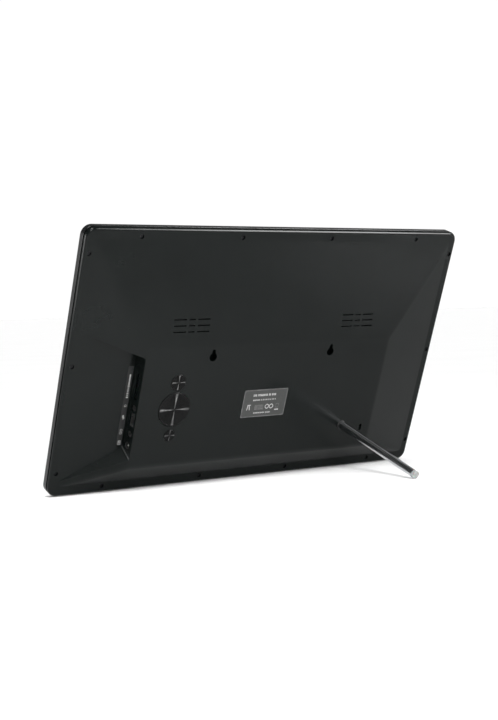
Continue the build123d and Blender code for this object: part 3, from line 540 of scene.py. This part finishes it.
def label_lines():
    """Two upper lines and one lower line of print, with neutral marks between them."""
    x, y = label.x, label.y
    bars = dashes(x - 15.1, x + 12.9, y + 8.7, 2.3, seed=3)
    bars += dashes(x - 14.6, x + 12.9, y + 3.5, 1.5, seed=5, longest=1.2, gap=0.4, word=0.3)
    bars += dashes(x - 11.6, x + 8.9, y - 10.4, 1.4, seed=8, longest=1.2, gap=0.4, word=0.2)
    bars += [bar(x - 20.0, y - 4.1, 1.1, 5.6, slant=0.5), bar(x - 17.7, y - 4.1, 1.1, 5.6, slant=-0.5)]
    bars += [bar(x - 18.3, y - 1.6, 4.2, 1.0)]
    bars += ring(x + 3.9, y - 4.0, 2.6, 1.0) + ring(x + 9.1, y - 4.0, 2.6, 1.0)
    bars += [bar(x + 16.3, y - 8.1, 4.8, 1.4)]
    return bars


def label_half_tones():
    """A hatched box and a small open square in a duller ink."""
    x, y = label.x, label.y
    bars = [bar(x - 11.0 + 1.0 * step, y - 4.4, 0.6, 4.2) for step in range(11)]
    bars += [bar(x - 6.0, y - 2.1, 10.8, 0.4), bar(x - 6.0, y - 6.7, 10.8, 0.4)]
    bars += [bar(x + 14.9, y - 3.7, 0.5, 4.4), bar(x + 17.9, y - 3.7, 0.5, 4.4)]
    bars += [bar(x + 16.4, y - 1.7, 3.4, 0.5), bar(x + 16.4, y - 5.7, 3.4, 0.5)]
    return bars


def label_rim():
    """The thin printed border, which follows the two rounded corners."""
    half, rise = LABEL_WIDTH / 2, LABEL_HEIGHT / 2
    corners = [(-half, -rise, 0), (half, -rise, LABEL_ROUND),
               (half, rise, 0), (-half, rise, LABEL_ROUND)]

    def edge(inset):
        path = []
        for index, (corner_x, corner_y, radius) in enumerate(corners):
            sx, sy = math.copysign(1, corner_x), math.copysign(1, corner_y)
            r = max(radius - inset, 0)
            start = math.pi + index * math.pi / 2
            for step in range(9):
                turn = start + step / 8 * math.pi / 2
                path.append((label.x + corner_x - sx * (inset + r) + r * math.cos(turn),
                             label.y + corner_y - sy * (inset + r) + r * math.sin(turn)))
        return path

    outer, inner = edge(BORDER_INSET), edge(BORDER_INSET + BORDER)
    quads = []
    for index in range(len(outer)):
        after = (index + 1) % len(outer)
        if math.dist(outer[index], outer[after]) > 0.01:
            quads.append([outer[index], outer[after], inner[after], inner[index]])
    return quads


printed("rating_label_print", label_lines(), LABEL_FACE, label_ink())
printed("rating_label_hatching", label_half_tones(), LABEL_FACE, label_half_tone())
printed("rating_label_border", label_rim(), LABEL_FACE, label_half_tone())

strip = centre("port_label")
STRIP_FACE = strip.z + FILM / 2 + INK_FLOAT


def port_marks():
    """A mark beside each port: fine strokes for the card slot, then a small sign for each socket."""
    x = strip.x
    marks = [bar(x + 0.3, -15.9, 1.3, 11.0)]
    marks += [bar(x + 0.3, -22.4 - 1.9 * step, 1.5 if step % 2 else 2.1, 1.2) for step in range(7)]
    marks += ring(x, -42.4, 1.2, 0.35)
    marks += [bar(x, -54.2, 0.7, 4.6), bar(x + 0.9, -55.0, 0.5, 2.2), bar(x - 0.9, -53.4, 0.5, 2.2)]
    marks += ring(x, -67.6, 1.3, 0.4) + ring(x, -70.6, 1.3, 0.4)
    marks += [bar(x, -78.8, 2.8, 0.5), bar(x, -82.6, 2.8, 0.5), bar(x - 1.15, -80.7, 0.5, 3.4)]
    marks += [bar(x + 1.15, -80.7, 0.5, 3.4), bar(x, -80.7, 0.8, 0.8)]
    return marks


printed("port_marks", port_marks(), STRIP_FACE, port_ink())


# ---------------------------------------------------------------- turned key faces

GROOVE_PITCH, GROOVE_DEPTH = 0.6, 0.1
FACE_THICKNESS = 0.12
FACE_FLOAT = 0.01              # gap between a key and its turned face
RIM_BEVEL, RIM_THICKNESS = 0.1, 0.005
GROOVE_STEPS = 6               # rings of vertices in a groove
SIDES = 120
DISC_TOP, BUTTON_TOP = 12.9, 12.8               # faces of the CAD keys, out of the back


def circle(mesh, sides, place):
    """New vertices round a circle; place turns a cosine and a sine into a point."""
    turns = [math.tau * k / sides for k in range(sides)]
    return [mesh.verts.new(place(math.cos(turn), math.sin(turn))) for turn in turns]


def band(mesh, inner, outer):
    """Quads between two circles of vertices."""
    for k in range(len(inner)):
        after = (k + 1) % len(inner)
        mesh.faces.new((inner[k], outer[k], outer[after], inner[after]))


def turned_face(node, radius, top):
    """A thin disc with fine turned grooves that caps a key and moves with it."""
    middle = centre(node)
    mesh = bmesh.new()
    steps = int((radius - GROOVE_PITCH) / GROOVE_PITCH) * GROOVE_STEPS
    rings = []
    for step in range(steps + 1):
        turn = math.tau * step / GROOVE_STEPS
        rings.append((GROOVE_PITCH + step * GROOVE_PITCH / GROOVE_STEPS,
                      FACE_THICKNESS - GROOVE_DEPTH * (1 - math.cos(turn)) / 2))
    rings.append((rings[-1][0] + RIM_BEVEL, RIM_THICKNESS))
    loops = [circle(mesh, SIDES, lambda c, s: at(middle.x + r * c, middle.y + r * s,
                                                 top + FACE_FLOAT + lift)) for r, lift in rings]
    mesh.faces.new(loops[0])
    for inner, outer in zip(loops, loops[1:]):
        band(mesh, inner, outer)
    mesh.faces.new(list(reversed(loops[-1])))
    for face in mesh.faces:
        face.smooth = len(face.verts) == 4
    return piece(node + "_face", mesh, painted_glint_finish, node)


# the turned faces get the finish with the painted cross of glints
painted_glint_finish = painted_glint_key()
turned_face("nav_disc", 16.6, DISC_TOP)
turned_face("power_button", 7.6, BUTTON_TOP)
turned_face("return_button", 5.4, BUTTON_TOP)


# ---------------------------------------------------------------- floor, light and camera

FLOOR_GAP = 0.0002             # under the feet, in metres
FLOOR_RADII = (0.4, 1.0, 3.0, 12.0, 60.0)


def backdrop():
    """A pale round floor, large enough to reach the horizon."""
    mesh = bmesh.new()
    hub = mesh.verts.new((0, 0, -FLOOR_GAP))
    loops = [circle(mesh, 96, lambda c, s: (radius * c, radius * s, -FLOOR_GAP))
             for radius in FLOOR_RADII]
    for first, second in zip(loops[0], loops[0][1:] + loops[0][:1]):
        mesh.faces.new((hub, first, second))
    for inner, outer in zip(loops, loops[1:]):
        band(mesh, inner, outer)
    data = bpy.data.meshes.new("floor")
    mesh.to_mesh(data)
    mesh.free()
    floor = bpy.data.objects.new("floor", data)
    bpy.context.scene.collection.objects.link(floor)
    paper = Finish("floor_paper", (0.9, 0.9, 0.9), 0.9, Specular_IOR_Level=0.1)
    paper.tint(paper.between(paper.noise(250, 3), 0, 1), (0.89, 0.89, 0.89), (0.91, 0.91, 0.91))
    data.materials.append(paper.material)


def softbox(name, place, target, width, height, power, spread):
    """A rectangular lamp that lights a cone of this many degrees."""
    lamp = bpy.data.lights.new(name, "AREA")
    lamp.spread = math.radians(spread)
    lamp.shape = "RECTANGLE"
    lamp.size, lamp.size_y = width, height
    lamp.energy = power
    holder = bpy.data.objects.new(name, lamp)
    holder.location = place
    holder.rotation_euler = (Vector(target) - Vector(place)).to_track_quat("-Z", "Y").to_euler()
    bpy.context.scene.collection.objects.link(holder)
    return holder


def reflector(name, place, target, width, height, power):
    """A lit card that shows in glossy surfaces only."""
    card = softbox(name, place, target, width, height, power, 180)
    card.visible_diffuse = False
    card.visible_camera = False


HORIZON = ((0.0, 1.02), (0.24, 1.02), (0.4, 0.2), (1.0, 0.12))      # height, brightness


def room():
    """A studio that is bright near the horizon and dim overhead and behind the camera."""
    world = bpy.data.worlds.new("room")
    world.use_nodes = True
    tree = world.node_tree
    background = tree.nodes["Background"]
    direction = tree.nodes.new("ShaderNodeTexCoord")
    parts = tree.nodes.new("ShaderNodeSeparateXYZ")
    ramp = tree.nodes.new("ShaderNodeValToRGB")
    tree.links.new(direction.outputs["Generated"], parts.inputs["Vector"])
    tree.links.new(parts.outputs["Z"], ramp.inputs["Fac"])
    tree.links.new(ramp.outputs["Color"], background.inputs["Color"])
    while len(ramp.color_ramp.elements) < len(HORIZON):
        ramp.color_ramp.elements.new(0.5)
    for element, (height, level) in zip(ramp.color_ramp.elements, HORIZON):
        element.position = height
        element.color = (level, level, level, 1)
    far_side = tree.nodes.new("ShaderNodeMapRange")
    tree.links.new(parts.outputs["Y"], far_side.inputs["Value"])
    for socket, value in zip(RANGE_SOCKETS, (0.0, 0.45, 1.0, 0.25)):
        far_side.inputs[socket].default_value = value
    tree.links.new(far_side.outputs["Result"], background.inputs["Strength"])
    bpy.context.scene.world = world


def light():
    """A broad soft sun, three small lamps near the object and two cards for the rim's highlights."""
    room()
    sun = bpy.data.lights.new("ceiling", "SUN")
    sun.energy = 3.25
    sun.angle = math.radians(90)
    holder = bpy.data.objects.new("ceiling", sun)
    holder.rotation_euler = Vector((0.2, -0.4, -1)).to_track_quat("-Z", "Y").to_euler()
    holder.visible_glossy = False
    bpy.context.scene.collection.objects.link(holder)
    softbox("back_pool", (0.4, 0.35, 1.05), (0.3, 0.25, 0.0), 0.3, 0.3, 1.6, 60)
    softbox("right_pool", (-0.62, 0.52, 1.0), (-0.62, 0.52, 0.0), 0.3, 0.3, 1.1, 40)
    softbox("foot_light", (0.5, 1.6, 0.9), (0.0, 0.0, 0.0), 0.6, 0.6, 2.2, 60)
    reflector("top_card", (-0.87, 0.97, 0.76), (0.0, 0.0, 0.24), 0.6, 0.85, 56)
    reflector("side_card", (0.95, -0.1, 0.02), (0.22, 0.0, 0.2), 0.5, 0.8, 16)
    bpy.context.scene.view_settings.view_transform = "Standard"
    bpy.context.scene.view_settings.look = "None"


def camera():
    """Behind the object and to its right, a little above the floor, tipped by a small roll."""
    eye, aim = at(-810.3, 441.9, 1028.8), at(-19.2, -2.1, 0)
    roll = math.radians(1.5)
    data = bpy.data.cameras.new("camera")
    data.sensor_width = 36
    data.lens = 69.34
    data.clip_start = 0.02
    holder = bpy.data.objects.new("camera", data)
    holder.location = eye
    holder.rotation_euler = (aim - eye).to_track_quat("-Z", "Y").to_euler()
    holder.rotation_euler.rotate_axis("Z", -roll)
    bpy.context.scene.collection.objects.link(holder)
    bpy.context.scene.camera = holder


backdrop()
light()
camera()
